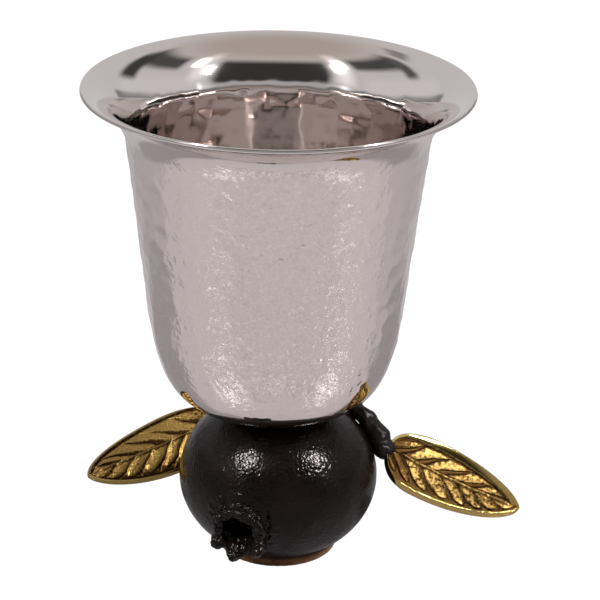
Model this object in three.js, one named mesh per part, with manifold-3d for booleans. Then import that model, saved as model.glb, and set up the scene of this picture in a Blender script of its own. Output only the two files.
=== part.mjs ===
// Kiddush cup: a hammered bowl with a flared lip, set on a cast pomegranate.
// A twig curls behind the neck, between the fruit and the bowl, and carries a leaf on each side.
// Millimetres, +Z up. The origin is the centre of the foot pad's underside, and the front faces -Y.
import * as THREE from "three";
import { ParametricGeometry } from "three/addons/geometries/ParametricGeometry.js";
import { mergeVertices } from "three/addons/utils/BufferGeometryUtils.js";
import Module from "manifold-3d";

const wasm = await Module();
wasm.setup();

const GAP = 0.3; // clearance between pieces that touch

// Foot pad, a disc under the fruit
const PAD_RADIUS = 13.5;
const PAD_THICKNESS = 1.9;

// Pomegranate, a flattened ball with a flat underside and a flat seat for the bowl
const FRUIT_RADIUS = 22.7;
const FRUIT_HALF_HEIGHT = 18.8;
const FRUIT_CENTRE_Z = 17.4;
const FRUIT_UNDERSIDE_Z = PAD_THICKNESS + GAP;
const FRUIT_SEAT_Z = 35.7;

// Crown of the fruit, a short lobed tube that opens to the front, a little left and down
const CROWN_LOBES = 6;
const CROWN_TURN = THREE.MathUtils.degToRad(21); // left of the front
const CROWN_DIP = THREE.MathUtils.degToRad(10); // below the horizontal
const CROWN_ROOT = 17; // where its tube starts, from the fruit's centre
const CROWN_LIP = 24.8; // the lip's distance from the fruit's centre
const CROWN_WAIST_RADIUS = 4.7;
const CROWN_LIP_RADIUS = 5.4;
const CROWN_FIRST_LOBE = THREE.MathUtils.degToRad(6);
const CROWN_LOBE_RADIUS = 2.2;
const CROWN_LOBE_STRETCH = 1.4; // along the tube // each lobe is a round blob on the lip
const CROWN_HOLE_BOTTOM = 18.5; // from the fruit's centre
const CROWN_HOLE_RADIUS = [3, 3.9]; // at its bottom and at its mouth

// Bowl, spun from sheet and hammered all over below its polished lip
const BOWL_SHIFT_X = -1.1; // the bowl is set by hand, a little off the fruit's axis
const BOWL_FLOOR_Z = FRUIT_SEAT_Z + GAP;
const BOWL_FLOOR_RADIUS = 13;
const SHEET = 0.9;
const HEEL = [[18.4, 37.3], [22.2, 39.9], [24.9, 44], [26.9, 49.6]]; // radius and height
const WALL_FOOT = [28.3, 56.5];
const WALL_TAPER = 0.117; // gain in radius for each millimetre of height
const FLARE_START_Z = 97.75;
const FLARE_RADIUS = 13.4;
const LIP_SLOPE = 0.253; // radians above the horizontal at the edge of the lip
const HAMMER_MARKS = 36; // facets in one row
const HAMMER_ROWS = 9; // rows on the straight wall
const FLARE_STEPS = 6;

// Twig: [x, y, z] along its route, from the left leaf round the back to the right one
const TWIG_ROUTE = [
  [-14.6, 24.3, 19.4], [-14.6, 22, 25], [-12.4, 17.4, 30.6], [-7, 15.4, 33.4], [1, 16.4, 33.7],
  [9.4, 14, 33.6], [15, 11, 31.4], [19.5, 7.8, 28.2], [22.7, 5.1, 24.8], [24.2, 3.7, 22.4],
];
const TWIG_RADIUS = 1.5;
const TWIG_SWELL = 0.6; // extra radius where a leaf joins
const TWIG_KNOBS = 11;
const TWIG_KNOB_HEIGHT = 0.2;

// Leaves: dish bends a leaf's edges, and arch its middle, towards its veined side
const LEAF_WIDEST = 0.3; // where it is widest, from 0 at its base to 1 at its tip
const LEAF_THICKNESS = 1.5;
const LEAF_BORDER = 1.5; // width of the raised border
const LEAF_RELIEF = 0.55; // height of the border, midrib and veins above the blade
const LEAF_MIDRIB = 1; // half its width at its foot
const LEAF_VEINS = 6.5; // veins along the leaf, on each side of the midrib
const LEAF_VEIN_SWEEP = 0.3; // how far a vein runs towards the tip, as a share of the leaf
const LEAF_VEIN_HEIGHT = 0.75; // against the border and the midrib
const LEAF_EDGE_ROUND = 0.6;
const LEAVES = [
  {
    name: "leaf_left", base: [-14.1, 24, 18.7], tip: [-44.6, 8.5, 11.2],
    width: 15.4, roll: -33, dish: -0.8, arch: -1.2,
  },
  {
    name: "leaf_right", base: [24.8, 3, 22.3], tip: [55.6, 0.4, 8.6],
    width: 16.2, roll: 34, dish: 0.8, arch: -1.4,
  },
];

const FULL_TURN = 2 * Math.PI;
const steel = new THREE.MeshStandardMaterial({ color: 0xc9c2be, roughness: 0.12, metalness: 1 });
const darkCast = new THREE.MeshStandardMaterial({ color: 0x1c1514, roughness: 0.35, metalness: 0.5 });
const darkTwig = new THREE.MeshStandardMaterial({ color: 0x1a1413, roughness: 0.5, metalness: 0.4 });
const brass = new THREE.MeshStandardMaterial({ color: 0xb08a45, roughness: 0.25, metalness: 1 });
const felt = new THREE.MeshStandardMaterial({ color: 0x482e19, roughness: 0.95, metalness: 0 });

const up = new THREE.Vector3(0, 0, 1);
const vector = (p) => new THREE.Vector3(...p);
const smoothstep = THREE.MathUtils.smoothstep;

function named(name, geometry, material) {
  const mesh = new THREE.Mesh(geometry, material);
  mesh.name = name;
  return mesh;
}

// A profile of Vector2 (radius, height), turned about +Z
function lathe(points, segments) {
  return new THREE.LatheGeometry(points, segments).rotateX(Math.PI / 2);
}

function solidOf(geometry) {
  const bare = geometry.clone();
  bare.deleteAttribute("normal");
  bare.deleteAttribute("uv");
  const merged = mergeVertices(bare, 1e-3);
  const triVerts = new Uint32Array(merged.index.array);
  const vertProperties = merged.attributes.position.array;
  return new wasm.Manifold(new wasm.Mesh({ numProp: 3, vertProperties, triVerts }));
}

function geometryOf(solid) {
  const { vertProperties, triVerts } = solid.getMesh();
  const geometry = new THREE.BufferGeometry();
  geometry.setAttribute("position", new THREE.BufferAttribute(vertProperties, 3));
  geometry.setIndex(new THREE.BufferAttribute(triVerts, 1));
  geometry.computeVertexNormals();
  return geometry;
}

function footPad() {
  const chamfer = 0.3;
  const outline = [
    new THREE.Vector2(0, 0),
    new THREE.Vector2(PAD_RADIUS, 0),
    new THREE.Vector2(PAD_RADIUS, PAD_THICKNESS - chamfer),
    new THREE.Vector2(PAD_RADIUS - chamfer, PAD_THICKNESS),
    new THREE.Vector2(0, PAD_THICKNESS),
  ];
  return named("foot_pad", lathe(outline, 64), felt);
}

// A ball turned from half its outline, cut flat at its underside and at its seat.
// grown moves its round side outwards.
function fruitBody(grown) {
  const latitude = (z) => Math.asin((z - FRUIT_CENTRE_Z) / FRUIT_HALF_HEIGHT);
  const lowest = latitude(FRUIT_UNDERSIDE_Z);
  const highest = latitude(FRUIT_SEAT_Z);
  const steps = 15;
  const outline = [new THREE.Vector2(0, FRUIT_UNDERSIDE_Z)];
  for (let i = 0; i <= steps; i++) {
    const a = THREE.MathUtils.lerp(lowest, highest, i / steps);
    outline.push(new THREE.Vector2(
      (FRUIT_RADIUS + grown) * Math.cos(a),
      FRUIT_CENTRE_Z + (FRUIT_HALF_HEIGHT + grown) * Math.sin(a),
    ));
  }
  outline.push(new THREE.Vector2(0, FRUIT_SEAT_Z));
  return lathe(outline, 42);
}

// From the crown's own frame, along +Z, to its place on the fruit
function toCrownPlace(geometry) {
  const direction = new THREE.Vector3(
    -Math.sin(CROWN_TURN) * Math.cos(CROWN_DIP),
    -Math.cos(CROWN_TURN) * Math.cos(CROWN_DIP),
    -Math.sin(CROWN_DIP),
  );
  geometry.applyQuaternion(new THREE.Quaternion().setFromUnitVectors(up, direction));
  return geometry.translate(0, 0, FRUIT_CENTRE_Z);
}

// The fruit and its crown: a ring of round lobes on a short tube, with a hole down its middle
function pomegranate() {
  const tubeOutline = [
    new THREE.Vector2(0, CROWN_ROOT),
    new THREE.Vector2(CROWN_WAIST_RADIUS, CROWN_ROOT),
    new THREE.Vector2(CROWN_WAIST_RADIUS, 0.4 * CROWN_ROOT + 0.6 * CROWN_LIP),
    new THREE.Vector2(CROWN_LIP_RADIUS, CROWN_LIP),
    new THREE.Vector2(0, CROWN_LIP),
  ];
  const holeOutline = [
    new THREE.Vector2(0, CROWN_HOLE_BOTTOM),
    new THREE.Vector2(CROWN_HOLE_RADIUS[0], CROWN_HOLE_BOTTOM),
    new THREE.Vector2(CROWN_HOLE_RADIUS[1], CROWN_LIP + CROWN_LOBE_RADIUS),
    new THREE.Vector2(0, CROWN_LIP + CROWN_LOBE_RADIUS),
  ];
  let fruit = solidOf(fruitBody(0)).add(solidOf(toCrownPlace(lathe(tubeOutline, 24))));
  for (let i = 0; i < CROWN_LOBES; i++) {
    const lobe = new THREE.SphereGeometry(CROWN_LOBE_RADIUS, 10, 7).rotateX(Math.PI / 2);
    lobe.scale(1, 1, CROWN_LOBE_STRETCH).translate(CROWN_LIP_RADIUS, 0, CROWN_LIP - CROWN_LOBE_RADIUS / 2);
    lobe.rotateZ(CROWN_FIRST_LOBE + i * FULL_TURN / CROWN_LOBES);
    fruit = fruit.add(solidOf(toCrownPlace(lobe)));
  }
  fruit = fruit.subtract(solidOf(toCrownPlace(lathe(holeOutline, 18))));
  return named("pomegranate", geometryOf(fruit), darkCast);
}

// The outer side of the bowl, from the centre of its floor to the edge of its lip
function bowlOutline() {
  const wallRadius = (z) => WALL_FOOT[0] + WALL_TAPER * (z - WALL_FOOT[1]);
  const floorEdge = new THREE.Vector2(BOWL_FLOOR_RADIUS, BOWL_FLOOR_Z);
  const heel = new THREE.SplineCurve([
    new THREE.Vector2(BOWL_FLOOR_RADIUS / 2, BOWL_FLOOR_Z),
    floorEdge,
    ...HEEL.map((p) => new THREE.Vector2(...p)),
    new THREE.Vector2(...WALL_FOOT),
  ]);
  const points = [new THREE.Vector2(0, BOWL_FLOOR_Z), ...heel.getPoints(7)];
  for (let row = 1; row <= HAMMER_ROWS; row++) {
    const z = THREE.MathUtils.lerp(WALL_FOOT[1], FLARE_START_Z, row / HAMMER_ROWS);
    points.push(new THREE.Vector2(wallRadius(z), z));
  }
  const upright = Math.atan2(1, WALL_TAPER);
  const centre = new THREE.Vector2(
    wallRadius(FLARE_START_Z) + FLARE_RADIUS * Math.sin(upright),
    FLARE_START_Z - FLARE_RADIUS * Math.cos(upright),
  );
  for (let i = 1; i <= FLARE_STEPS; i++) {
    const a = THREE.MathUtils.lerp(upright, LIP_SLOPE, i / FLARE_STEPS);
    const fromCentre = new THREE.Vector2(-Math.sin(a), Math.cos(a)).multiplyScalar(FLARE_RADIUS);
    points.push(fromCentre.add(centre));
  }
  return points;
}

// The outline moved inwards by the sheet's thickness, square to its own run
function inwards(points, distance) {
  return points.map((p, i) => {
    if (i === 0) return new THREE.Vector2(0, p.y + distance);
    const run = points[Math.min(i + 1, points.length - 1)].clone().sub(points[i - 1]).normalize();
    return new THREE.Vector2(p.x - run.y * distance, p.y + run.x * distance);
  });
}

// Each ring of the wall is turned half a mark from the last, so that the sheet is all small flats
function bowl() {
  const outside = bowlOutline();
  const inside = inwards(outside, SHEET);
  const edge = outside.at(-1).clone().add(inside.at(-1)).multiplyScalar(0.5);
  edge.x += SHEET / 4;
  const profile = [...outside, edge, ...inside.reverse()];
  const geometry = lathe(profile, HAMMER_MARKS);
  const halfMark = FULL_TURN / HAMMER_MARKS / 2;
  const at = geometry.attributes.position;
  const point = new THREE.Vector3();
  for (let i = 0; i < at.count; i++) {
    const along = i % profile.length;
    const row = Math.min(along, profile.length - 1 - along, outside.length - 1 - FLARE_STEPS);
    point.fromBufferAttribute(at, i).applyAxisAngle(up, row * halfMark);
    at.setXYZ(i, point.x, point.y, point.z);
  }
  const mesh = named("bowl", geometry, steel);
  mesh.position.x = BOWL_SHIFT_X;
  return mesh;
}

// A tube along the twig's route, swollen at both ends where the leaves join, with knobs like bark.
// grown moves its whole surface outwards.
function twigGeometry(grown) {
  const points = TWIG_ROUTE.map(vector);
  const [first, second, beforeLast, last] = [points[0], points[1], points.at(-2), points.at(-1)];
  first.addScaledVector(first.clone().sub(second).normalize(), grown);
  last.addScaledVector(last.clone().sub(beforeLast).normalize(), grown);
  const route = new THREE.CatmullRomCurve3(points, false, "centripetal");
  const length = route.getLength();
  const steps = 46;
  const frames = route.computeFrenetFrames(steps);
  const endRadius = TWIG_RADIUS + TWIG_SWELL + grown;
  return new ParametricGeometry((turn, t, target) => {
    const fromEnd = Math.min(t, 1 - t);
    const rounded = Math.sqrt(1 - (1 - Math.min(fromEnd * length / endRadius, 1)) ** 2);
    const swell = TWIG_SWELL * (1 - smoothstep(fromEnd, 0.04, 0.22));
    const a = turn * FULL_TURN;
    const knobs = TWIG_KNOB_HEIGHT * Math.sin(TWIG_KNOBS * FULL_TURN * t + 2 * Math.sin(a));
    const r = (TWIG_RADIUS + swell + knobs + grown) * rounded;
    const i = Math.round(t * steps);
    route.getPointAt(t, target);
    target.addScaledVector(frames.normals[i], r * Math.cos(a));
    target.addScaledVector(frames.binormals[i], r * Math.sin(a));
  }, 10, steps);
}

// Two half ellipses: the leaf's width at u, 0 at its base and 1 at its tip, against its greatest width
function halfWidthShare(u) {
  const reach = u < LEAF_WIDEST ? LEAF_WIDEST : 1 - LEAF_WIDEST;
  return Math.sqrt(Math.max(0, 1 - ((u - LEAF_WIDEST) / reach) ** 2));
}

// How much the border, midrib and veins stand up at a place on the blade, from 0 to 1
function leafRelief(u, side, half) {
  const fromMidrib = half * Math.abs(side);
  const border = 1 - smoothstep(half - fromMidrib, 0.6 * LEAF_BORDER, LEAF_BORDER);
  const midrib = 1 - smoothstep(fromMidrib, 0.2 * LEAF_MIDRIB, LEAF_MIDRIB);
  const phase = (u - LEAF_VEIN_SWEEP * Math.abs(side)) * LEAF_VEINS;
  const offVein = Math.abs(phase - Math.round(phase));
  const vein = LEAF_VEIN_HEIGHT * (1 - smoothstep(offVein, 0.08, 0.28));
  return Math.max(border, midrib, vein);
}

// A cast leaf in its own frame: +X from its base to its tip, +Z out of its veined side.
// turn goes once round its section: along the veined side, then back along its plain side.
function leafGeometry(leaf, length) {
  const sideAt = (turn) => (turn < 0.5 ? 1 - 4 * turn : 4 * turn - 3);
  return new ParametricGeometry((turn, u, target) => {
    const side = sideAt(turn);
    const half = 0.5 * leaf.width * halfWidthShare(u);
    const fullness = Math.min(1, half * (1 - Math.abs(side)) / LEAF_EDGE_ROUND);
    const body = 0.5 * LEAF_THICKNESS * Math.sqrt(fullness);
    const raised = LEAF_RELIEF * fullness * leafRelief(u, side, half);
    const bend = (leaf.arch + leaf.dish * side * side) * Math.sin(Math.PI * u);
    target.set(u * length, half * side, bend + (turn < 0.5 ? body + raised : -body));
  }, 24, 26);
}

// The twig where it lies on the fruit's shoulder, cut clear of it
function twig() {
  return named("twig", geometryOf(solidOf(twigGeometry(0)).subtract(solidOf(fruitBody(GAP)))), darkTwig);
}

// The leaf in its place, cut clear of the twig's end
function leafMesh(leaf) {
  const base = vector(leaf.base);
  const along = vector(leaf.tip).sub(base);
  const length = along.length();
  along.normalize();
  const sideways = new THREE.Vector3().crossVectors(up, along).normalize();
  sideways.applyAxisAngle(along, THREE.MathUtils.degToRad(leaf.roll));
  const facing = new THREE.Vector3().crossVectors(along, sideways);
  const place = new THREE.Matrix4().makeBasis(along, sideways, facing).setPosition(base);
  const placed = solidOf(leafGeometry(leaf, length).applyMatrix4(place));
  return named(leaf.name, geometryOf(placed.subtract(solidOf(twigGeometry(GAP)))), brass);
}

const cup = new THREE.Group();
cup.add(footPad(), pomegranate(), bowl(), twig(), ...LEAVES.map(leafMesh));

export default cup;
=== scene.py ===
"""Kiddush cup: a hammered steel bowl on a cast pomegranate, with a twig and two brass leaves behind."""

import math

import bpy
import numpy as np
from mathutils import Euler, Matrix, Vector, noise


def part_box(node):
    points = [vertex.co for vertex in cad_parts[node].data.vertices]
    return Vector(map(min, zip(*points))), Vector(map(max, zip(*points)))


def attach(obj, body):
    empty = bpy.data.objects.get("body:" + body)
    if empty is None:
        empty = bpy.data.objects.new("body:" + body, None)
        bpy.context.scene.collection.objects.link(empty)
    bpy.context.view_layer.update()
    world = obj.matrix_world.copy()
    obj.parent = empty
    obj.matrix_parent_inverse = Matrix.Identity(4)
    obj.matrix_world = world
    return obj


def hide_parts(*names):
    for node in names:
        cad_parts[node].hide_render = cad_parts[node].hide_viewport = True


bl_info = {
    "name": "Kiddush cup",
    "version": (1, 0, 0),
    "blender": (4, 5, 0),
    "location": "View3D > Sidebar > Cup",
    "description": "Builds a hammered kiddush cup on a pomegranate foot, with its studio",
    "category": "Object",
}

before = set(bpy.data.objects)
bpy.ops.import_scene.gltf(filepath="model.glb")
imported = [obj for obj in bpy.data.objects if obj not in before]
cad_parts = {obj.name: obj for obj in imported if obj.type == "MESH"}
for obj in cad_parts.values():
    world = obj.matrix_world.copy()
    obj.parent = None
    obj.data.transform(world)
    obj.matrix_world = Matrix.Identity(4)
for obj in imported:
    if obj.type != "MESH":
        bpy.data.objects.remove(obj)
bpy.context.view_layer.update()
MM = 0.001

BOWL_LOW, BOWL_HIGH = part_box("bowl")
FRUIT_LOW, FRUIT_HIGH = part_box("pomegranate")
PAD_LOW, PAD_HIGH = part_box("foot_pad")

# The bowl's side from the centre of its floor to the top of its straight wall:
# radius as a share of the lip's, and height as a share of the bowl's
BOWL_SIDE = (
    (0.0, 0.0), (0.15, 0.0), (0.302, 0.0), (0.428, 0.0176), (0.516, 0.0527),
    (0.579, 0.108), (0.626, 0.184), (0.658, 0.277), (0.714, 0.556), (0.7703, 0.8345),
)
LEAF_WIDEST = 0.3  # where a leaf is widest, from 0 at its base to 1 at its tip


# ---------------------------------------------------------------- settings


class CupBowlSettings(bpy.types.PropertyGroup):
    sheet: bpy.props.FloatProperty(
        name="Sheet", description="Thickness of the bowl's steel", default=0.9 * MM, unit="LENGTH")
    flare_radius: bpy.props.FloatProperty(
        name="Flare", description="Radius of the curve from the wall to the lip",
        default=13.4 * MM, unit="LENGTH")
    lip_slope: bpy.props.FloatProperty(
        name="Lip slope", description="How steeply the lip still rises at its edge",
        default=0.253, unit="ROTATION")
    mark_size: bpy.props.FloatProperty(
        name="Hammer mark", description="Distance from one hammer mark to the next",
        default=4.4 * MM, unit="LENGTH")
    mark_depth: bpy.props.FloatProperty(
        name="Mark depth", description="Depth of a hammer mark", default=0.13 * MM, unit="LENGTH")
    inside_share: bpy.props.FloatProperty(
        name="Inside share", description="How much of a mark's depth shows inside, below the lip",
        default=0.5)
    smooth_lip: bpy.props.FloatProperty(
        name="Smooth lip", description="Height of the lip's smooth band", default=8.6 * MM,
        unit="LENGTH")


class CupFruitSettings(bpy.types.PropertyGroup):
    voxel: bpy.props.FloatProperty(
        name="Voxel", description="Mesh size of the cast fruit", default=0.33 * MM, unit="LENGTH")
    middle: bpy.props.FloatProperty(
        name="Middle", description="Height at which the fruit is widest", default=17.4 * MM,
        unit="LENGTH")
    half_height: bpy.props.FloatProperty(
        name="Half height", description="Half the fruit's height before its seat and foot are cut flat",
        default=18.8 * MM, unit="LENGTH")
    crown_turn: bpy.props.FloatProperty(
        name="Crown turn", description="How far left of the front the crown points",
        default=math.radians(21), unit="ROTATION")
    crown_dip: bpy.props.FloatProperty(
        name="Crown dip", description="How far below the horizontal the crown points",
        default=math.radians(10), unit="ROTATION")
    crown_lobes: bpy.props.IntProperty(
        name="Crown lobes", description="Number of lobes round the crown's mouth", default=6)
    crown_lip: bpy.props.FloatProperty(
        name="Crown lip", description="Distance of the crown's lip from the fruit's centre",
        default=24.4 * MM, unit="LENGTH")
    crown_radius: bpy.props.FloatProperty(
        name="Crown radius", description="Radius of the ring of lobes", default=5.5 * MM, unit="LENGTH")
    lobe_radius: bpy.props.FloatProperty(
        name="Lobe", description="Radius of one lobe", default=1.65 * MM, unit="LENGTH")
    crumple: bpy.props.FloatProperty(
        name="Crumple", description="Depth of the folds on the crown", default=0.55 * MM, unit="LENGTH")
    grain_depth: bpy.props.FloatProperty(
        name="Grain", description="Depth of the casting's grain", default=0.045 * MM, unit="LENGTH")


class CupSprigSettings(bpy.types.PropertyGroup):
    bark_depth: bpy.props.FloatProperty(
        name="Bark", description="Height of the knobs on the twig", default=0.55 * MM, unit="LENGTH")
    collar: bpy.props.FloatProperty(
        name="Collar", description="Radius of the twig's swollen ends, where the leaves are held",
        default=2.0 * MM, unit="LENGTH")
    swell: bpy.props.FloatProperty(
        name="Swell", description="How much thicker the twig grows towards the right leaf",
        default=0.5 * MM, unit="LENGTH")
    leaf_thickness: bpy.props.FloatProperty(
        name="Leaf thickness", description="Thickness of a leaf's blade", default=1.5 * MM,
        unit="LENGTH")
    border: bpy.props.FloatProperty(
        name="Border", description="Width of a leaf's raised border", default=1.6 * MM, unit="LENGTH")
    relief: bpy.props.FloatProperty(
        name="Relief", description="Height of the border and the veins", default=0.5 * MM,
        unit="LENGTH")
    veins: bpy.props.FloatProperty(
        name="Veins", description="Veins along the leaf, on each side of its midrib", default=6.2)
    sweep: bpy.props.FloatProperty(
        name="Vein sweep", description="How far a vein runs towards the tip, as a share of the leaf",
        default=0.4)


class CupFinishSettings(bpy.types.PropertyGroup):
    steel: bpy.props.FloatVectorProperty(
        name="Steel", description="Colour of the polished steel", subtype="COLOR",
        default=(0.72, 0.655, 0.63))
    crinkle_depth: bpy.props.FloatProperty(
        name="Skin", description="Unevenness of the hammered steel's skin", default=0.19 * MM,
        unit="LENGTH")
    dark_cast: bpy.props.FloatVectorProperty(
        name="Dark casting", description="Colour of the fruit", subtype="COLOR",
        default=(0.0024, 0.0014, 0.0011))
    dark_twig: bpy.props.FloatVectorProperty(
        name="Twig", description="Colour of the twig", subtype="COLOR",
        default=(0.004, 0.0027, 0.0024))
    brass: bpy.props.FloatVectorProperty(
        name="Brass", description="Colour of the polished brass", subtype="COLOR",
        default=(0.45, 0.315, 0.105))
    worn_brass: bpy.props.FloatVectorProperty(
        name="Worn brass", description="Colour of the leaves' stippled blades", subtype="COLOR",
        default=(0.27, 0.158, 0.043))
    patina_and_shade_tone: bpy.props.FloatVectorProperty(
        name="Patina", description="Colour in the leaves' recesses", subtype="COLOR",
        default=(0.042, 0.021, 0.006))
    felt: bpy.props.FloatVectorProperty(
        name="Felt", description="Colour of the foot pad", subtype="COLOR",
        default=(0.15, 0.062, 0.015))


class CupStageSettings(bpy.types.PropertyGroup):
    camera_place: bpy.props.FloatVectorProperty(
        name="Camera", description="Where the camera stands", default=(0.0043, -0.5, 0.2675),
        unit="LENGTH")
    camera_pitch: bpy.props.FloatProperty(
        name="Pitch", description="How far the camera looks down", default=math.radians(22.52),
        unit="ROTATION")
    camera_roll: bpy.props.FloatProperty(
        name="Roll", description="Turn of the camera about its line of sight",
        default=math.radians(1.05), unit="ROTATION")
    focal_length: bpy.props.FloatProperty(
        name="Focal length", description="The lens's focal length in millimetres", default=145.8)
    tent: bpy.props.FloatProperty(
        name="Tent", description="Brightness of the white tent's walls", default=0.68)
    lamp: bpy.props.FloatProperty(
        name="Lamps", description="Power of each of the two lamps, in watts", default=7.0)


# ---------------------------------------------------------------- mesh helpers


def deselect():
    if bpy.context.object and bpy.context.object.mode != "OBJECT":
        bpy.ops.object.mode_set(mode="OBJECT")
    bpy.ops.object.select_all(action="DESELECT")


def newest(name):
    """The object that the last primitive operator made, with its own name."""
    piece = bpy.context.object
    piece.name = name
    piece.data.name = name
    return piece


def select_only(piece):
    deselect()
    piece.select_set(True)
    bpy.context.view_layer.objects.active = piece


def apply_place(piece):
    select_only(piece)
    bpy.ops.object.transform_apply(location=True, rotation=True, scale=True)


def edit_all(piece):
    """Goes into edit mode with the whole mesh selected."""
    select_only(piece)
    bpy.ops.object.mode_set(mode="EDIT")
    bpy.ops.mesh.select_all(action="SELECT")


def add_modifier(piece, kind, **values):
    """Adds a modifier, sets its values and applies it."""
    select_only(piece)
    modifier = piece.modifiers.new(kind.title(), kind)
    for key, value in values.items():
        setattr(modifier, key, value)
    bpy.ops.object.modifier_apply(modifier=modifier.name)


def roughen(piece, name, size, depth, middle, detail=2):
    """Pushes the surface in and out along its normals by a cloudy noise of a given size."""
    texture = bpy.data.textures.new(name, "CLOUDS")
    texture.noise_scale = size
    texture.noise_depth = detail
    add_modifier(piece, "DISPLACE", texture=texture, strength=depth, mid_level=middle)


def join(pieces, name):
    select_only(pieces[0])
    for piece in pieces[1:]:
        piece.select_set(True)
    bpy.ops.object.join()
    return newest(name)


def coordinates(piece, what="co"):
    values = np.empty(len(piece.data.vertices) * 3, np.float32)
    piece.data.vertices.foreach_get(what, values)
    return values.reshape(-1, 3).astype(float)


def move_vertices(piece, places):
    piece.data.vertices.foreach_set("co", places.astype(np.float32).ravel())
    piece.data.update()


def paint(piece, label, values):
    """Stores one number for each vertex, for the piece's material to read."""
    attribute = piece.data.attributes.new(label, "FLOAT", "POINT")
    attribute.data.foreach_set("value", values.astype(np.float32))


def smoothstep(value, low, high):
    t = np.clip((value - low) / (high - low), 0, 1)
    return t * t * (3 - 2 * t)


def bell(distance, width):
    return np.exp(-((distance / width) ** 2))


def smooth_curve(points, steps):
    """A Catmull-Rom curve through the points, with so many steps between two of them."""
    p = np.array([points[0], *points, points[-1]], float)
    t = np.linspace(0, 1, steps, endpoint=False)[:, None]
    stretches = [
        0.5 * (2 * b + (c - a) * t + (2 * a - 5 * b + 4 * c - d) * t**2 + (3 * b - a - 3 * c + d) * t**3)
        for a, b, c, d in zip(p, p[1:], p[2:], p[3:])
    ]
    return np.vstack([*stretches, p[-1:]])


def evenly(points, count):
    """The same line with its points at equal distances."""
    length = np.concatenate([[0], np.cumsum(np.linalg.norm(np.diff(points, axis=0), axis=1))])
    at = np.linspace(0, length[-1], count)
    return np.column_stack([np.interp(at, length, points[:, k]) for k in range(2)])


def revolved(name, outline, steps, centre):
    """A sheet turned about an upright line through centre, from an outline of (radius, height)."""
    deselect()
    bpy.ops.mesh.primitive_plane_add(
        size=MM, location=(centre.x + outline[0][0], centre.y, outline[0][1]))
    piece = newest(name)
    apply_place(piece)
    edit_all(piece)
    bpy.ops.mesh.merge(type="CENTER")
    for (r0, z0), (r1, z1) in zip(outline, outline[1:]):
        bpy.ops.mesh.extrude_region_move(TRANSFORM_OT_translate={"value": (r1 - r0, 0, z1 - z0)})
    bpy.ops.mesh.select_all(action="SELECT")
    bpy.ops.mesh.spin(steps=steps, angle=math.tau, center=centre, axis=(0, 0, 1))
    bpy.ops.mesh.select_all(action="SELECT")
    bpy.ops.mesh.remove_doubles(threshold=0.01 * MM)
    bpy.ops.mesh.normals_make_consistent(inside=False)
    bpy.ops.object.mode_set(mode="OBJECT")
    outward = coordinates(piece)[:, :2] - centre.to_2d()
    if (coordinates(piece, "normal")[:, :2] * outward).sum() < 0:
        bpy.ops.object.mode_set(mode="EDIT")
        bpy.ops.mesh.flip_normals()
        bpy.ops.object.mode_set(mode="OBJECT")
    return piece


def finish_piece(piece, material, node):
    """Smooth shading, the finish, and the piece's place in the frame."""
    select_only(piece)
    bpy.ops.object.shade_smooth()
    piece.data.materials.clear()
    piece.data.materials.append(material)
    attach(piece, "root")
    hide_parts(node)


# ---------------------------------------------------------------- material helpers


class Nodes:
    """Short ways to add nodes to one tree. An input is given as a plain value or as a socket to link."""

    def __init__(self, tree):
        self.tree = tree

    def fill(self, node, inputs):
        for key, value in inputs.items():
            if isinstance(value, bpy.types.NodeSocket):
                self.tree.links.new(value, node.inputs[key])
            else:
                node.inputs[key].default_value = value
        return node

    def add(self, kind, inputs=None, **values):
        node = self.tree.nodes.new("ShaderNode" + kind)
        for key, value in values.items():
            setattr(node, key, value)
        return self.fill(node, inputs or {})

    def place(self):
        return self.add("TexCoord").outputs["Object"]

    def attribute(self, name):
        return self.add("Attribute", attribute_name=name).outputs["Fac"]

    def math(self, operation, *numbers, clamp=False):
        return self.add("Math", dict(enumerate(numbers)), operation=operation, use_clamp=clamp).outputs[0]

    def noise(self, place, scale, detail, roughness=0.5, distortion=0.0):
        return self.add("TexNoise", {"Vector": place, "Scale": scale, "Detail": detail,
                                     "Roughness": roughness, "Distortion": distortion}).outputs["Fac"]

    def ramp(self, value, low, high, to_low=0.0, to_high=1.0, steps="LINEAR"):
        """Turns low … high into to_low … to_high, and holds it beyond them."""
        return self.add("MapRange", {"Value": value, "From Min": low, "From Max": high, "To Min": to_low,
                                     "To Max": to_high}, interpolation_type=steps).outputs[0]

    def blend(self, factor, a, b, blend_type="MIX"):
        """A mix of two colours."""
        return self.add("Mix", {"Factor": factor, "A": a, "B": b}, data_type="RGBA",
                        blend_type=blend_type).outputs["Result"]

    def bump(self, height, distance, **more):
        return self.add("Bump", {"Height": height, "Distance": distance, "Strength": 1.0, **more}).outputs[0]

    def group(self, group, **inputs):
        return self.add("Group", inputs, node_tree=group).outputs


def new_material(name):
    """A material, its nodes and its shader."""
    material = bpy.data.materials.new(name)
    material.use_nodes = True
    tree = material.node_tree
    return material, Nodes(tree), tree.nodes["Principled BSDF"]


def new_group(name, inputs, outputs):
    """An empty node group. Its inputs are numbers with their defaults, or None for a vector."""
    group = bpy.data.node_groups.new(name, "ShaderNodeTree")
    for label, default in inputs.items():
        kind = "NodeSocketVector" if default is None else "NodeSocketFloat"
        socket = group.interface.new_socket(label, in_out="INPUT", socket_type=kind)
        if default is not None:
            socket.default_value = default
    for label in outputs:
        group.interface.new_socket(label, in_out="OUTPUT", socket_type="NodeSocketFloat")
    given = group.nodes.new("NodeGroupInput").outputs
    return group, Nodes(group), given, group.nodes.new("NodeGroupOutput")


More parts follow.
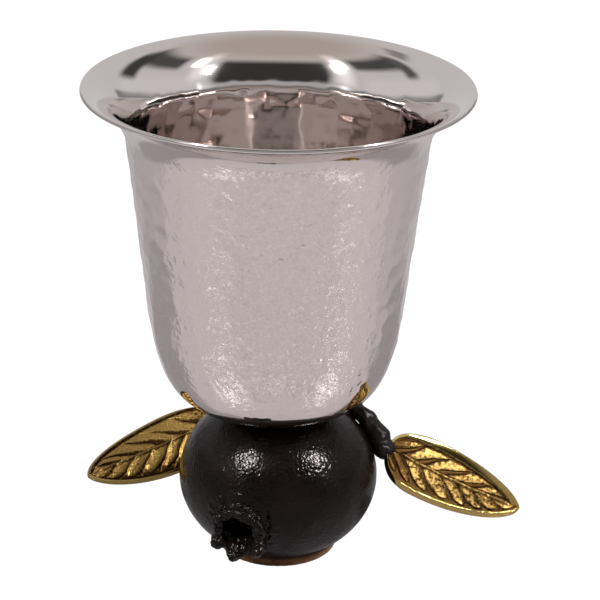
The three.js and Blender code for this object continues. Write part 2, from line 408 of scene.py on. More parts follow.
def cast_grain_group():
    """Pits and grains of a sand casting: a height, and a mask of its hollows."""
    group, nodes, given, out = new_group(
        "Cast grain", {"Vector": None, "Size": 1500.0}, ("Height", "Hollows"))
    place, size = given["Vector"], given["Size"]
    grains = nodes.noise(place, size, 0.7)
    pits = nodes.add("TexVoronoi", {"Vector": place, "Scale": size}, feature="SMOOTH_F1")
    height = nodes.math("MULTIPLY_ADD", pits.outputs["Distance"], 0.4, grains)
    spots = nodes.noise(place, nodes.math("MULTIPLY", size, 0.25), 0.0)
    strength = nodes.ramp(spots, 0.35, 0.68, 0.7, 1.15)
    nodes.fill(out, {
        "Height": nodes.math("MULTIPLY", height, strength),
        "Hollows": nodes.ramp(nodes.noise(place, 130.0, 3.0), 0.35, 0.7),
    })
    return group


def handled_group():
    """Faint smudges and fine polishing lines on bright metal: a roughness to add, and a height."""
    group, nodes, given, out = new_group(
        "Handled metal", {"Vector": None, "Smudge": 0.05}, ("Roughness", "Lines"))
    smudges = nodes.noise(given["Vector"], 90.0, 4.0, 0.6)
    flat = nodes.add("Mapping", {"Vector": given["Vector"], "Scale": (60.0, 60.0, 5200.0)})
    nodes.fill(out, {
        "Roughness": nodes.math("MULTIPLY", smudges, given["Smudge"]),
        "Lines": nodes.noise(flat.outputs[0], 1.0, 2.0),
    })
    return group


def planished_group():
    """The fine uneven skin that the planishing hammer leaves, weaker in some places than in others."""
    group, nodes, given, out = new_group("Planished skin", {"Vector": None, "Size": 1.1 * MM}, ("Height",))
    scale = nodes.math("DIVIDE", 1.0, given["Size"])
    waves = nodes.noise(given["Vector"], scale, 0.0, distortion=0.3)
    uneven = nodes.ramp(nodes.noise(given["Vector"], 260.0, 1.0), 0.35, 0.6, 0.35, 1.0)
    nodes.fill(out, {"Height": nodes.math("MULTIPLY", waves, uneven)})
    return group


def handled_metal():
    return bpy.data.node_groups.get("Handled metal") or handled_group()


def cast_grain():
    return bpy.data.node_groups.get("Cast grain") or cast_grain_group()


def steel_material(finish):
    material, nodes, shader = new_material("Polished steel")
    place = nodes.place()
    metal = nodes.group(handled_metal(), Vector=place, Smudge=0.05)
    skin = nodes.group(planished_group(), Vector=place)
    hammered = nodes.math("MULTIPLY", skin["Height"], nodes.attribute("hammered"))
    uneven = nodes.bump(hammered, finish.crinkle_depth)
    polished = nodes.bump(metal["Lines"], 0.003 * MM, Strength=0.35, Normal=uneven)
    nodes.fill(shader, {
        "Base Color": (*finish.steel, 1),
        "Metallic": 1,
        "Roughness": nodes.math("ADD", metal["Roughness"], 0.03),
        "Normal": polished,
    })
    return material


def cast_material(name, colour, size, depth, roughness, specular):
    """A dark casting: its grain is deeper on the crown, and its hollows are lighter and duller."""
    material, nodes, shader = new_material(name)
    cast = nodes.group(cast_grain(), Vector=nodes.place(), Size=size)
    lighter = [2.1 * c for c in colour]
    deeper = nodes.math("MULTIPLY_ADD", nodes.attribute("crumpled"), 1.4, 1.0)
    height = nodes.math("MULTIPLY", cast["Height"], deeper)
    nodes.fill(shader, {
        "Base Color": nodes.blend(cast["Hollows"], (*colour, 1), (*lighter, 1)),
        "Roughness": nodes.ramp(cast["Hollows"], 0.0, 1.0, roughness, 1.6 * roughness),
        "Normal": nodes.bump(height, depth),
        "Specular IOR Level": specular,
        "Specular Tint": (1.0, 0.92, 0.91, 1),
    })
    return material


def brass_material(finish):
    """Brass that is bright on the borders, stippled and duller on the blades, and dark in the recesses and
    where shade is painted.
    """
    material, nodes, shader = new_material("Antique brass")
    place = nodes.place()
    metal = nodes.group(handled_metal(), Vector=place, Smudge=0.06)
    recess_and_shade, blade = nodes.attribute("recess_and_shade"), nodes.attribute("blade")
    stipple = nodes.ramp(nodes.noise(place, 2300.0, 2.0, 0.6), 0.38, 0.62)
    worn = nodes.math("MULTIPLY", stipple, blade)
    dulled = nodes.math("MULTIPLY_ADD", worn, 0.55, nodes.math("MULTIPLY", blade, 0.45), clamp=True)
    bright = nodes.blend(dulled, (*finish.brass, 1), (*finish.worn_brass, 1))
    mottle = nodes.ramp(nodes.noise(place, 1300.0, 3.0, 0.65), 0.35, 0.65, -0.36, 0.36)
    # The dark colour goes to patinated hollows and also to painted shade: by each stalk, and over the whole
    # right leaf; the left leaf is painted lighter.
    patina_and_shade_share = nodes.ramp(nodes.math("ADD", recess_and_shade, mottle, clamp=True), 0.25, 0.7)
    duller = nodes.ramp(blade, 0.0, 1.0, 0.03, 0.32)
    nodes.fill(shader, {
        "Base Color": nodes.blend(patina_and_shade_share, bright, (*finish.patina_and_shade_tone, 1)),
        "Metallic": 1,
        "Roughness": nodes.math("ADD", duller, metal["Roughness"]),
        "Normal": nodes.bump(worn, 0.035 * MM),
    })
    return material


def felt_material(finish):
    material, nodes, shader = new_material("Brown felt")
    place = nodes.place()
    fibres, clumps = nodes.noise(place, 2600.0, 4.0, 0.7), nodes.noise(place, 420.0, 2.0)
    both = nodes.math("ADD", fibres, clumps)
    dark, light = ([share * c for c in finish.felt] for share in (0.6, 1.5))
    nodes.fill(shader, {
        "Base Color": nodes.blend(nodes.ramp(both, 0.7, 1.3), (*dark, 1), (*light, 1)),
        "Normal": nodes.bump(both, 0.12 * MM),
        "Roughness": 0.95,
        "Sheen Weight": 0.3,
    })
    return material


# ---------------------------------------------------------------- bowl


def bowl_outline(bowl):
    """The outer side, from the centre of the floor to the edge of the lip, as (radius, height)."""
    lip_radius = (BOWL_HIGH.x - BOWL_LOW.x) / 2
    height = BOWL_HIGH.z - BOWL_LOW.z
    side = np.array(BOWL_SIDE) * (lip_radius, height) + (0, BOWL_LOW.z)
    run = side[-1] - side[-2]
    upright = math.atan2(run[1], run[0])
    slopes = np.linspace(upright, bowl.lip_slope, 24)
    flare = bowl.flare_radius * np.column_stack([-np.sin(slopes), np.cos(slopes)])
    flare += side[-1] - flare[0]
    outline = np.vstack([smooth_curve(side, 12), flare[1:]])
    wider = (lip_radius - 0.2 * MM - side[-1][0]) / (flare[-1][0] - side[-1][0])
    above = outline[:, 1] > side[-1][1]
    outline[above, 0] = side[-1][0] + (outline[above, 0] - side[-1][0]) * wider
    return outline


def hammer_marks(bowl, outline, turn, height):
    """How far rows of shallow round marks press the sheet in, each a little off its place, size and tilt."""
    size = bowl.mark_size
    row_of = height / size
    low_row = np.floor(row_of).astype(int)
    rows = int(low_row.max()) + 4
    middles = BOWL_LOW.z + (np.arange(rows) - 0.5) * size
    around = math.tau * np.interp(middles, outline[:, 1], outline[:, 0])
    counts = np.array([max(6, round(length / size)) for length in around])
    marks = (rows, counts.max())
    rng = np.random.default_rng(7)
    offsets = rng.uniform(0, 1, rows)
    jitter = rng.uniform(-0.26, 0.26, (*marks, 2))
    tilt = rng.normal(0, 0.016, (*marks, 2))
    drop = rng.uniform(0.55, 1.0, marks)
    curve = rng.uniform(16 * MM, 34 * MM, marks)
    soft = 0.018 * MM  # how round the ridge between two marks is
    total = np.zeros(len(turn))
    for row_step in (-1, 0, 1):
        row = np.clip(low_row + 1 + row_step, 0, rows - 1)
        column_of = turn / math.tau * counts[row] + offsets[row]
        for column_step in (-1, 0, 1):
            column = (np.floor(column_of).astype(int) + column_step) % counts[row]
            shift = jitter[row, column]
            across = (column_of - np.floor(column_of) - column_step - 0.5 + shift[:, 0]) * size
            up = (row_of - row + 0.5 + shift[:, 1]) * size
            dish = (across**2 + up**2) / (2 * curve[row, column])
            lean = across * tilt[row, column, 0] + up * tilt[row, column, 1]
            total += np.exp(-(dish + lean - drop[row, column] * bowl.mark_depth) / soft)
    depth = -soft * np.log(total)
    return depth - np.percentile(depth, 99.5)


def hammer(piece, bowl, outline, centre):
    """Presses the marks into the wall, and paints where the planished skin shows: outside, in front."""
    places = coordinates(piece)
    normals = coordinates(piece, "normal")
    x, y, z = (places - (centre.x, centre.y, 0)).T
    outside = (normals * np.column_stack([x, y, np.full(len(x), -0.02)])).sum(1) > 0
    depth = hammer_marks(bowl, outline, np.arctan2(y, x) % math.tau, z - BOWL_LOW.z)

    # The lip and the round heel stay smooth, and the marks show less inside, most of all low down
    lip = BOWL_HIGH.z - bowl.smooth_lip
    hammered = 1 - smoothstep(z, lip - 1.5 * MM, lip + 1.5 * MM)
    hammered *= smoothstep(z, BOWL_LOW.z + 6 * MM, BOWL_LOW.z + 16 * MM)
    towards_lip = 0.3 + 0.7 * smoothstep(z, lip - 12 * MM, lip - 3 * MM)
    shown = np.where(outside, 1.0, -bowl.inside_share * towards_lip)
    move_vertices(piece, places + normals * (depth * hammered * shown)[:, None])

    # The skin ends along the marks, so its edge is scalloped
    aside = np.abs(np.arctan2(x, -y)) + math.radians(6) * depth / bowl.mark_depth
    planished = 1 - 0.85 * smoothstep(aside, math.radians(36), math.radians(43))
    paint(piece, "hammered", hammered * planished * outside)


def make_bowl(scene):
    bowl = scene.cup_bowl
    outline = bowl_outline(bowl)
    centre = Vector(((BOWL_LOW.x + BOWL_HIGH.x) / 2, (BOWL_LOW.y + BOWL_HIGH.y) / 2, 0))
    piece = revolved("hammered_bowl", evenly(outline, 146), 288, centre)
    add_modifier(piece, "SOLIDIFY", thickness=bowl.sheet, offset=-1, use_even_offset=True)
    hammer(piece, bowl, outline, centre)
    add_modifier(piece, "BEVEL", width=0.3 * bowl.sheet, segments=3, limit_method="ANGLE",
                 angle_limit=math.radians(60))
    finish_piece(piece, steel_material(scene.cup_finish), "bowl")


# ---------------------------------------------------------------- pomegranate


def crown_frame(fruit, centre):
    """The crown's own frame: +Z out of its mouth, its origin at the fruit's centre."""
    flat = math.cos(fruit.crown_dip)
    out = Vector((-math.sin(fruit.crown_turn) * flat, -math.cos(fruit.crown_turn) * flat,
                  -math.sin(fruit.crown_dip)))
    turn = Vector((0, 0, 1)).rotation_difference(out)
    return Matrix.Translation(centre) @ turn.to_matrix().to_4x4()


def crown_pieces(fruit, place):
    """A flared tube and its lobes: round blobs, fuller below and drawn out along the tube above."""
    deselect()
    root = 0.62 * fruit.crown_lip
    bpy.ops.mesh.primitive_cone_add(
        vertices=48, radius1=0.84 * fruit.crown_radius, radius2=1.08 * fruit.crown_radius,
        depth=fruit.crown_lip - root, location=(0, 0, (fruit.crown_lip + root) / 2))
    pieces = [newest("crown_tube")]
    rng = np.random.default_rng(12)
    for i in range(fruit.crown_lobes):
        turn = math.radians(6) + (i + rng.uniform(-0.14, 0.14)) * math.tau / fruit.crown_lobes
        out = fruit.crown_radius * rng.uniform(0.94, 1.06)
        low = (place.to_3x3() @ Vector((math.cos(turn), math.sin(turn), 0))).z < 0
        size = fruit.lobe_radius * (rng.uniform(0.95, 1.1) if low else rng.uniform(0.6, 0.75))
        along = fruit.crown_lip - (0.2 if low else 0.8) * size
        deselect()
        bpy.ops.mesh.primitive_uv_sphere_add(
            segments=24, ring_count=16, radius=size,
            location=(out * math.cos(turn), out * math.sin(turn), along),
            rotation=(0, 0.4, turn), scale=(0.95, 1.2 if low else 1.9, 1.5))
        pieces.append(newest("crown_lobe"))
    for piece in pieces:
        apply_place(piece)
        piece.data.transform(place)
    return pieces


def crown_hole(fruit, place):
    """A plug in the shape of the crown's hollow, to be cut out of it."""
    deselect()
    bpy.ops.mesh.primitive_cone_add(
        vertices=40, radius1=0.5 * fruit.crown_radius, radius2=0.86 * fruit.crown_radius,
        depth=0.4 * fruit.crown_lip, location=(0, 0, 0.96 * fruit.crown_lip))
    plug = newest("crown_hole")
    apply_place(plug)
    plug.data.transform(place)
    return plug


def fruit_ball(centre, radius, half_height):
    """A flattened ball, cut level where the bowl sits on it and where it stands on its pad."""
    deselect()
    bpy.ops.mesh.primitive_uv_sphere_add(
        segments=96, ring_count=64, radius=1, location=centre, scale=(radius, radius, half_height))
    ball = newest("fruit_ball")
    apply_place(ball)
    for height, below in ((FRUIT_HIGH.z, False), (FRUIT_LOW.z, True)):
        edit_all(ball)
        bpy.ops.mesh.bisect(plane_co=(0, 0, height), plane_no=(0, 0, 1), use_fill=True,
                            clear_inner=below, clear_outer=not below)
        bpy.ops.object.mode_set(mode="OBJECT")
    return ball


def crumple(piece, fruit, place):
    """Folds and lumps on the crown and the skin just round it."""
    places = coordinates(piece)
    normals = coordinates(piece, "normal")
    mouth = np.array(place @ Vector((0, 0, fruit.crown_lip - 1.5 * MM)))
    far = np.linalg.norm(places - mouth, axis=1)
    share = 1 - smoothstep(far, 1.0 * fruit.crown_radius, 2.0 * fruit.crown_radius)
    for i in np.flatnonzero(share > 0):
        at = Vector(places[i] / MM)
        lump = noise.noise(0.75 * at) + 0.7 * abs(noise.noise(1.7 * at)) + 0.35 * noise.noise(3.4 * at)
        places[i] += normals[i] * share[i] * fruit.crumple * lump
    move_vertices(piece, places)
    paint(piece, "crumpled", share)


def make_pomegranate(scene):
    fruit = scene.cup_fruit
    radius = (FRUIT_HIGH.x - FRUIT_LOW.x) / 2
    centre = Vector((0, 0, fruit.middle))
    place = crown_frame(fruit, centre)
    ball = fruit_ball(centre, radius, fruit.half_height)
    piece = join([ball, *crown_pieces(fruit, place)], "cast_pomegranate")
    add_modifier(piece, "REMESH", mode="VOXEL", voxel_size=fruit.voxel)
    plug = crown_hole(fruit, place)
    add_modifier(piece, "BOOLEAN", operation="DIFFERENCE", solver="EXACT", object=plug)
    bpy.data.objects.remove(plug)
    add_modifier(piece, "REMESH", mode="VOXEL", voxel_size=fruit.voxel)
    add_modifier(piece, "SMOOTH", factor=0.5, iterations=7)
    crumple(piece, fruit, place)
    roughen(piece, "Cast lumps", 2.6 * MM, 1.2 * fruit.grain_depth, 0.5)
    roughen(piece, "Cast grain", 0.75 * MM, fruit.grain_depth, 0.5)
    material = cast_material("Dark casting", scene.cup_finish.dark_cast, size=1650.0, depth=0.12 * MM,
                             roughness=0.15, specular=0.15)
    finish_piece(piece, material, "pomegranate")


# ---------------------------------------------------------------- foot pad


def make_foot_pad(scene):
    deselect()
    radius = (PAD_HIGH.x - PAD_LOW.x) / 2
    bpy.ops.mesh.primitive_cylinder_add(
        vertices=120, radius=radius, depth=PAD_HIGH.z - PAD_LOW.z,
        location=(0, 0, (PAD_LOW.z + PAD_HIGH.z) / 2))
    piece = newest("felt_pad")
    apply_place(piece)
    edit_all(piece)
    bpy.ops.mesh.bevel(offset=0.35 * MM, segments=3)
    bpy.ops.object.mode_set(mode="OBJECT")
    add_modifier(piece, "REMESH", mode="VOXEL", voxel_size=0.3 * MM)
    roughen(piece, "Felt", 0.8 * MM, 0.12 * MM, 0.75, detail=3)
    finish_piece(piece, felt_material(scene.cup_finish), "foot_pad")


# ---------------------------------------------------------------- twig and leaves


def leaf_place(node):
    """Where a leaf lies: a frame with +X to its tip and +Z out of its veined side, its length and width."""
    places = coordinates(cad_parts[node])
    centre = places.mean(0)
    axes = np.linalg.eigh(np.cov((places - centre).T))[1]
    along = axes[:, 2] * np.sign(axes[:2, 2] @ centre[:2])
    facing = axes[:, 0] * np.sign(axes[2, 0])
    across = np.cross(facing, along)
    reach = (places - centre) @ along
    length = np.ptp(reach)
    ends = np.abs(reach - (reach.max() + reach.min()) / 2) > 0.47 * length
    level = ((places[ends] - centre) @ facing).mean()
    base = centre + along * reach.min() + facing * level
    turn = Matrix(np.column_stack([along, across, facing]).tolist()).to_4x4()
    return Matrix.Translation(Vector(base)) @ turn, length, np.ptp((places - centre) @ across)


def knob(radius, place):
    deselect()
    bpy.ops.mesh.primitive_uv_sphere_add(segments=32, ring_count=24, radius=radius)
    piece = newest("knob")
    piece.data.transform(place)
    return piece


def make_twig(scene):
    """The solid's own stem, with a collar at each leaf, thicker and knobbly towards the right one."""
    sprig = scene.cup_sprig
    stem = bpy.data.objects.new("stem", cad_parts["twig"].data.copy())
    scene.collection.objects.link(stem)
    edit_all(stem)
    bpy.ops.mesh.remove_doubles(threshold=0.01 * MM)
    bpy.ops.object.mode_set(mode="OBJECT")
    flatter = Matrix.Translation((-0.3 * sprig.collar, 0, 0)) @ Matrix.Diagonal((1, 1.2, 0.8, 1))
    knobs = [knob(sprig.collar, leaf_place(node)[0] @ flatter) for node in ("leaf_left", "leaf_right")]
    stalk = coordinates(stem)
    end = np.array(leaf_place("leaf_right")[0].translation)
    from_end = np.linalg.norm(stalk - end, axis=1)
    for distance, share in ((2.2 * MM, 1.06), (4.6 * MM, 0.94)):
        ring = stalk[np.argsort(np.abs(from_end - distance))[:24]].mean(0)
        knobs.append(knob(share * sprig.collar, Matrix.Translation(ring)))
    piece = join([stem, *knobs], "barky_twig")
    add_modifier(piece, "REMESH", mode="VOXEL", voxel_size=0.22 * MM)
    add_modifier(piece, "SMOOTH", factor=0.5, iterations=6)
    places = coordinates(piece)
    near = 1 - smoothstep(np.linalg.norm(places - end, axis=1), 6 * MM, 17 * MM)
    move_vertices(piece, places + coordinates(piece, "normal") * (sprig.swell * near)[:, None])
    roughen(piece, "Knobs", 2.4 * MM, sprig.bark_depth, 0.45, detail=0)
    roughen(piece, "Bark", 0.9 * MM, 0.45 * sprig.bark_depth, 0.5)
    material = cast_material("Dark twig", scene.cup_finish.dark_twig, size=1100.0, depth=0.07 * MM,
                             roughness=0.33, specular=0.18)
    finish_piece(piece, material, "twig")


def leaf_share(u):
    """The leaf's width at u as a share of its greatest: full near the stalk, drawn out to a blunt point."""
    below = np.clip((LEAF_WIDEST - u) / LEAF_WIDEST, 0, 1)
    above = np.clip((u - LEAF_WIDEST) / (1 - LEAF_WIDEST), 0, 1)
    return (1 - below**2.9) ** 0.5 * (1 - above**2) ** 0.6


def leaf_relief(u, side, half, slant, sprig, upper, rim, seed):
    """The veined side's height over the blade, how dark each place is from its patinated hollows and from
    painted shade, and where the blade is.
    """
    rng = np.random.default_rng(seed)
    away = np.abs(side)
    high_side = side * upper > 0
    hand = high_side.astype(int)
    from_midrib = half * away
    from_edge = half * (1 - away) / np.sqrt(1 + slant**2)

    # Lobes from one vein to the next, swept to the tip: long and slanting on the high side, short below
    sweep = sprig.sweep * np.where(high_side, 0.75 + 0.7 * u, 0.5)
    root = u - sweep * away**0.9 + 0.005 * np.sin(17 * u + 9 * away + seed)
    per_side = np.array([[1.25], [0.93]]) * sprig.veins
    knots = (np.arange(-6, 20) + rng.uniform(-0.15, 0.15, (2, 26))) / per_side
    number = np.where(high_side, np.searchsorted(knots[1], root), np.searchsorted(knots[0], root))
    low, high = knots[hand, number - 1], knots[hand, number]
    t = (root - low) / (high - low)
    reach = rng.uniform(0.6, 0.82, (2, 26))[hand, number]
    depth = rng.uniform(0.7, 1.0, (2, 26))[hand, number]

    # High side: a dark flame along each vein, wide at the midrib and gone before the border
    flame = 0.66 * np.clip(1 - away / reach, 0, 1) ** 1.1
    in_flame = (1 - smoothstep(t, 0.6 * flame, flame + 0.03)) * smoothstep(flame, 0.02, 0.1)
    in_flame *= smoothstep(from_midrib, 0.2 * MM, 0.4 * MM)
    leafy = 0.75 + 0.25 * t - 0.95 * in_flame * depth
    # Low side: round-ended fingers with a deep pocket round their ends
    finger = np.hypot((t - 0.5) / (0.5 - 0.1 * away), np.clip(away - 0.46, 0, 1) / 0.29)
    pocket = smoothstep(finger, 0.8, 1.04) * (0.6 + 0.4 * smoothstep(away, 0.2, 0.5))
    padded = np.sqrt(np.clip(1.04 - np.clip(finger, 0, 1) ** 2, 0, 1)) - 0.6 * pocket * depth
    edge_vein = bell(t - 0.96, 0.05) * smoothstep(from_midrib, 0.2 * MM, 0.6 * MM)
    lobes = np.where(high_side, leafy, padded) + 0.35 * edge_vein * (1 - away)
    soft = 0.4 * (1 - t) ** 1.5 * (1.1 - away) + 0.08
    dark = np.where(high_side, in_flame * depth + soft, pocket * depth + 0.15 + 0.2 * t)
    dark *= 1 - 0.7 * edge_vein
    dark += 0.5 * bell(from_midrib - 0.5 * MM, 0.18 * MM)
    midrib = bell(from_midrib, 0.24 * MM) * (1.1 - 0.6 * u)

    # The rim: a smooth roll with a groove inside it, wider on the high side
    taper = smoothstep(u, 0.02, 0.3) * (1 - 0.25 * smoothstep(u, 0.45, 1.0))
    width = rim * np.where(high_side, 1.0, 0.55) * (0.4 + 0.6 * taper)
    on_border = 1 - smoothstep(from_edge, 0.88 * width, width)
    roll = np.sqrt(np.clip(1 - ((from_edge - 0.45 * width) / (0.66 * width)) ** 2, 0, 1))
    groove = bell(from_edge - width - 0.22 * MM, 0.26 * MM) * smoothstep(u, 0.03, 0.12)
    groove *= np.where(high_side, 1.0, 0.6)

    fade = 1 - smoothstep(u, 0.86, 0.98)
    blade = 0.35 + fade * 0.75 * (lobes - 0.5) + 0.8 * midrib * fade - 0.45 * groove
    height = on_border * (0.55 + 0.6 * roll) + (1 - on_border) * blade
    # Painted shadow: the blade is painted darker towards the stalk, where the leaf's base lies in shade.
    painted_stalk_shadow = 1 - smoothstep(u, 0.03, 0.24)
    recess_and_shade = np.clip(fade * dark * (1 - midrib) + groove, 0, 1)
    recess_and_shade = np.clip((1 - on_border) * (recess_and_shade + 0.75 * painted_stalk_shadow), 0, 1)
    return sprig.relief * height, recess_and_shade, 1 - on_border


def make_leaf(scene, node, material, arch, dish, upper, rim, painted_shade_offset, seed):
    """A leaf as a ball drawn flat: one hemisphere is its veined side, the other its plain back."""
    sprig = scene.cup_sprig
    place, length, width = leaf_place(node)
    deselect()
    bpy.ops.mesh.primitive_uv_sphere_add(segments=280, ring_count=300, radius=1, location=(0, 0, 0))
    piece = newest("brass_" + node)
    x, y, z = coordinates(piece).T
    u = np.clip((1 + z) / 2, 0, 1)
    section = np.hypot(x, y)
    side = np.divide(x, section, out=np.zeros_like(x), where=section > 1e-6)
    veined = y >= 0
    half = 0.5 * width * leaf_share(u)
    half *= np.where(side * upper > 0, 1 - 0.09 * bell(u - 0.12, 0.14), 1)
    slant = 0.5 * width * (leaf_share(u + 0.002) - leaf_share(u - 0.002)) / (0.004 * length)
    relief, recess_and_shade, blade = leaf_relief(u, side, half, np.clip(slant, -3, 3), sprig, upper, rim, seed)
    fullness = np.clip(half * (1 - np.abs(side)) / (0.75 * MM), 0, 1)
    body = 0.5 * sprig.leaf_thickness * np.sqrt(1 - (1 - fullness) ** 2)
    bend = (arch + dish * side**2) * np.sin(math.pi * u)
    height = bend + np.where(veined, body + relief * fullness, -body)
    move_vertices(piece, np.column_stack([u * length, half * side, height]))
    # The offset paints each leaf's whole blade: painted light on the left leaf, painted shade on the right
    # one.
    paint(piece, "recess_and_shade", (recess_and_shade + painted_shade_offset * blade) * veined)
    paint(piece, "blade", blade * veined)
    edit_all(piece)
    bpy.ops.mesh.normals_make_consistent(inside=False)
    bpy.ops.object.mode_set(mode="OBJECT")
    piece.data.transform(place)
    finish_piece(piece, material, node)


def make_leaves(scene):
    material = brass_material(scene.cup_finish)
    border = scene.cup_sprig.border
    # The left leaf is painted lighter and the right one darker, as painted light and shade.
    make_leaf(scene, "leaf_left", material, arch=-1.2 * MM, dish=-0.8 * MM, upper=-1, rim=0.8 * border,
              painted_shade_offset=-0.13, seed=3)
    make_leaf(scene, "leaf_right", material, arch=-1.4 * MM, dish=0.8 * MM, upper=1, rim=1.6 * border,
              painted_shade_offset=0.26, seed=5)


# ---------------------------------------------------------------- stage


# What the tent shows all round the cup: azimuth from the front to the right, elevation, half width,
# half height, soft edge (all in degrees) and brightness
TENT = {
    "ceiling": (0, 90, 180, 14, 30, 0.52),
    "gap over the floor": (0, 8, 150, 4, 4, 0.25),
    "left wall's foot": (-108, 22, 30, 3, 12, 0.76),
    "right wall's foot": (110, 22, 30, 3, 12, 0.74),
    "left opening": (-96, 50, 24, 3, 9, 0.08),
    "left opening's end": (-122, 43, 2, 7, 8, 0.12),
    "right opening": (117, 48, 21, 3, 9, 0.09),
    "right opening's end": (139, 38, 4, 7, 8, 0.06),
    "seam": (-143, 51, 6, 1, 5, 0.3),
    "camera's side": (6, 38, 43, 11, 12, 0.045),
    "low front": (6, 17, 40, 2, 5, 0.5),
    "left strip": (-55, 44, 1, 16, 11, 1.1),
    "left strip's lamp": (-56, 51, 1, 2, 7, 6.0),
    "left strip's foot": (-52, 16, 2, 1, 6, 1.6),
    "right strip": (70, 44, 1, 14, 12, 1.0),
    "right strip's lamp": (76, 51, 1, 2, 7, 6.0),
    "right strip's foot": (65, 17, 2, 1, 6, 1.6),
}


def softbox_group():
    """A soft-edged panel on the sky, by its azimuth and elevation in radians."""
    labels = ("Azimuth", "Elevation", "Azimuth centre", "Elevation centre", "Half width", "Half height",
              "Soft edge")
    group, nodes, given, out = new_group("Softbox", dict.fromkeys(labels, 0.0), ("Mask",))
    masks = []
    for angle, half in (("Azimuth", "Half width"), ("Elevation", "Half height")):
        off = nodes.math("SUBTRACT", given[angle], given[angle + " centre"])
        size = nodes.math("ABSOLUTE", nodes.math("WRAP", off, math.pi, -math.pi))
        edge = nodes.math("ADD", given[half], given["Soft edge"])
        masks.append(nodes.ramp(size, edge, given[half], steps="SMOOTHSTEP"))
    nodes.fill(out, {"Mask": nodes.math("MULTIPLY", *masks)})
    return group


def azimuth_of(nodes, xyz):
    """The angle from the front (-Y) round to the right (+X)."""
    return nodes.math("ARCTAN2", xyz["X"], nodes.math("MULTIPLY", xyz["Y"], -1.0))


def make_sky(scene):
    """A white tent with two lit strips in front, open on the camera's side."""
    world = bpy.data.worlds.new("Tent")
    world.use_nodes = True
    scene.world = world
    nodes = Nodes(world.node_tree)
    xyz = nodes.add("SeparateXYZ", {0: nodes.add("TexCoord").outputs["Generated"]}).outputs
    azimuth = azimuth_of(nodes, xyz)
    elevation = nodes.math("ARCSINE", xyz["Z"])
    panel = softbox_group()
    light = scene.cup_stage.tent
    for label, (*angles, brightness) in TENT.items():
        az, el, wide, high, soft = (math.radians(angle) for angle in angles)
        mask = nodes.add("Group", {
            "Azimuth": azimuth, "Elevation": elevation, "Azimuth centre": az, "Elevation centre": el,
            "Half width": wide, "Half height": high, "Soft edge": soft,
        }, node_tree=panel, label=label).outputs["Mask"]
        light = nodes.add("Mix", {"Factor": mask, "A": light, "B": brightness}).outputs["Result"]
    warm = nodes.ramp(elevation, math.radians(50), math.radians(70))
    tint = nodes.blend(warm, (0.975, 0.985, 1.0, 1), (1.0, 0.91, 0.83, 1))
    nodes.fill(world.node_tree.nodes["Background"], {"Color": tint, "Strength": light})


def make_floor():
    """A pale glossy sheet, overexposed where it is seen directly, with painted bright lines before the cup
    and painted cup shadows beside it.
    """
    deselect()
    bpy.ops.mesh.primitive_plane_add(size=6, location=(0, 0, 0))
    floor = newest("pale_floor")
    material, nodes, shader = new_material("Pale floor")
    place = nodes.place()
    xyz = nodes.add("SeparateXYZ", {0: place}).outputs
    aside = nodes.math("ABSOLUTE", azimuth_of(nodes, xyz))
    far = nodes.add("VectorMath", {0: place}, operation="LENGTH").outputs["Value"]
    # Painted light: before the cup, a patch of bright winding lines is painted on the floor, standing for
    # glints of light there.
    painted_light_patch = nodes.math("MULTIPLY", nodes.ramp(aside, math.radians(60), math.radians(56)),
                               nodes.ramp(far, 54 * MM, 60 * MM))
    from_light_line = nodes.math("ABSOLUTE", nodes.math("SUBTRACT", nodes.noise(place, 140.0, 1.0), 0.5))
    painted_light_lines = nodes.ramp(from_light_line, 0.06, 0.01, 0.83, 1.45)
    # Painted shadow: the floor is painted darker to the sides and behind, where the two lamps cast the cup's
    # shadows.
    shade = nodes.math("MULTIPLY", nodes.ramp(aside, math.radians(91), math.radians(95)),
                       nodes.ramp(aside, math.radians(140), math.radians(132)))
    plain = nodes.ramp(shade, 0.0, 1.0, 1.04, 0.92)
    brightness = nodes.add("Mix", {"Factor": painted_light_patch, "A": plain, "B": painted_light_lines}).outputs["Result"]
    nodes.fill(shader, {
        "Base Color": nodes.blend(1.0, (0.308, 0.293, 0.302, 1), brightness, "MULTIPLY"),
        "Normal": nodes.bump(nodes.noise(place, 170.0, 2.0), 1.0 * MM),
        "Roughness": 0.2,
        "Specular IOR Level": 0.14,
    })
    white = nodes.add("Emission", {"Color": (1, 1, 1, 1), "Strength": 1.1})
    seen = nodes.math("MULTIPLY", nodes.add("LightPath").outputs["Is Camera Ray"], 0.93)
    mix = nodes.add("MixShader", {0: seen, 1: shader.outputs[0], 2: white.outputs[0]})
    nodes.fill(material.node_tree.nodes["Material Output"], {"Surface": mix.outputs[0]})
    floor.data.materials.append(material)


def add_lamp(name, azimuth, elevation, power, distance=0.8, width=0.032):
    """A tall narrow lamp that faces the cup."""
    flat = math.cos(elevation)
    direction = Vector((math.sin(azimuth) * flat, -math.cos(azimuth) * flat, math.sin(elevation)))
    deselect()
    bpy.ops.object.light_add(type="AREA", location=Vector((0, 0, 0.05)) + distance * direction)
    lamp = bpy.context.object
    lamp.name = name
    lamp.data.shape = "RECTANGLE"
    lamp.data.size = width
    lamp.data.size_y = 5 * width
    lamp.data.energy = power
    lamp.rotation_euler = direction.to_track_quat("Z", "Y").to_euler()


def make_camera(scene):
    stage = scene.cup_stage
    deselect()
    bpy.ops.object.camera_add(location=stage.camera_place)
    camera = bpy.context.object
    pitch = Euler((math.pi / 2 - stage.camera_pitch, 0, 0)).to_matrix()
    roll = Euler((0, 0, stage.camera_roll)).to_matrix()
    camera.rotation_euler = (pitch @ roll).to_euler()
    camera.data.lens = stage.focal_length
    camera.data.clip_start = 0.01
    camera.data.clip_end = 20
    scene.camera = camera


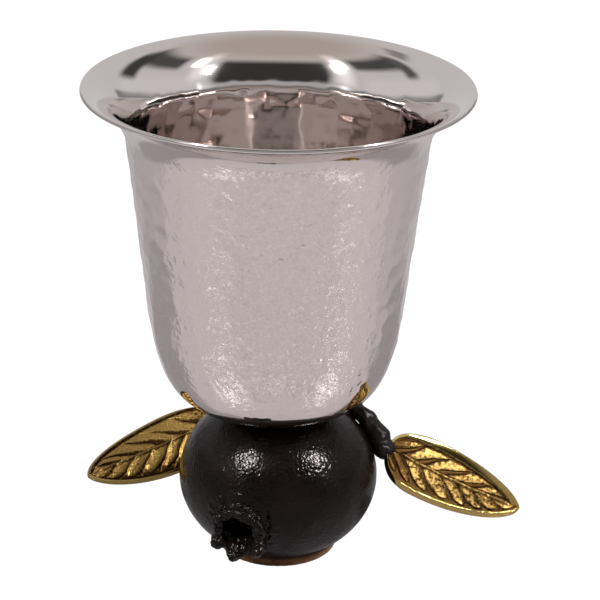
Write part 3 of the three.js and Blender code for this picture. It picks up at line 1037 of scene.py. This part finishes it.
def make_stage(scene):
    make_camera(scene)
    make_floor()
    make_sky(scene)
    add_lamp("lamp_left", math.radians(-53), math.radians(48), scene.cup_stage.lamp)
    add_lamp("lamp_right", math.radians(63), math.radians(44), scene.cup_stage.lamp)
    scene.view_settings.view_transform = "Standard"


# ---------------------------------------------------------------- operators and panel


class CUP_OT_bowl(bpy.types.Operator):
    """Spin the bowl from sheet, hammer it and polish it"""

    bl_idname = "cup.bowl"
    bl_label = "Hammered bowl"

    def execute(self, context):
        make_bowl(context.scene)
        return {"FINISHED"}


class CUP_OT_pomegranate(bpy.types.Operator):
    """Cast the fruit with its crown"""

    bl_idname = "cup.pomegranate"
    bl_label = "Pomegranate"

    def execute(self, context):
        make_pomegranate(context.scene)
        return {"FINISHED"}


class CUP_OT_foot_pad(bpy.types.Operator):
    """Cut the felt pad under the fruit"""

    bl_idname = "cup.foot_pad"
    bl_label = "Foot pad"

    def execute(self, context):
        make_foot_pad(context.scene)
        return {"FINISHED"}


class CUP_OT_twig(bpy.types.Operator):
    """Shape the twig behind the neck"""

    bl_idname = "cup.twig"
    bl_label = "Twig"

    def execute(self, context):
        make_twig(context.scene)
        return {"FINISHED"}


class CUP_OT_leaves(bpy.types.Operator):
    """Cast the two brass leaves"""

    bl_idname = "cup.leaves"
    bl_label = "Leaves"

    def execute(self, context):
        make_leaves(context.scene)
        return {"FINISHED"}


class CUP_OT_stage(bpy.types.Operator):
    """Set up the floor, the light and the camera"""

    bl_idname = "cup.stage"
    bl_label = "Studio"

    def execute(self, context):
        make_stage(context.scene)
        return {"FINISHED"}


class CUP_PT_panel(bpy.types.Panel):
    bl_label = "Kiddush cup"
    bl_idname = "CUP_PT_panel"
    bl_space_type = "VIEW_3D"
    bl_region_type = "UI"
    bl_category = "Cup"

    def draw(self, context):
        for label, operators in SECTIONS.items():
            box = self.layout.box()
            settings = getattr(context.scene, label)
            for key in settings.__annotations__:
                box.prop(settings, key)
            for operator in operators:
                box.operator(operator.bl_idname)


SETTINGS = {
    "cup_stage": CupStageSettings,
    "cup_bowl": CupBowlSettings,
    "cup_fruit": CupFruitSettings,
    "cup_sprig": CupSprigSettings,
    "cup_finish": CupFinishSettings,
}
SECTIONS = {
    "cup_stage": (CUP_OT_stage,),
    "cup_bowl": (CUP_OT_bowl,),
    "cup_fruit": (CUP_OT_pomegranate, CUP_OT_foot_pad),
    "cup_sprig": (CUP_OT_twig, CUP_OT_leaves),
    "cup_finish": (),
}
CLASSES = (
    *SETTINGS.values(), CUP_OT_stage, CUP_OT_bowl, CUP_OT_pomegranate, CUP_OT_foot_pad, CUP_OT_twig,
    CUP_OT_leaves, CUP_PT_panel,
)


def register():
    for cls in CLASSES:
        bpy.utils.register_class(cls)
    for label, cls in SETTINGS.items():
        setattr(bpy.types.Scene, label, bpy.props.PointerProperty(type=cls))


def unregister():
    for label in SETTINGS:
        delattr(bpy.types.Scene, label)
    for cls in reversed(CLASSES):
        bpy.utils.unregister_class(cls)


def main():
    register()
    bpy.ops.cup.stage()
    bpy.ops.cup.bowl()
    bpy.ops.cup.pomegranate()
    bpy.ops.cup.foot_pad()
    bpy.ops.cup.twig()
    bpy.ops.cup.leaves()


if __name__ == "__main__":
    main()
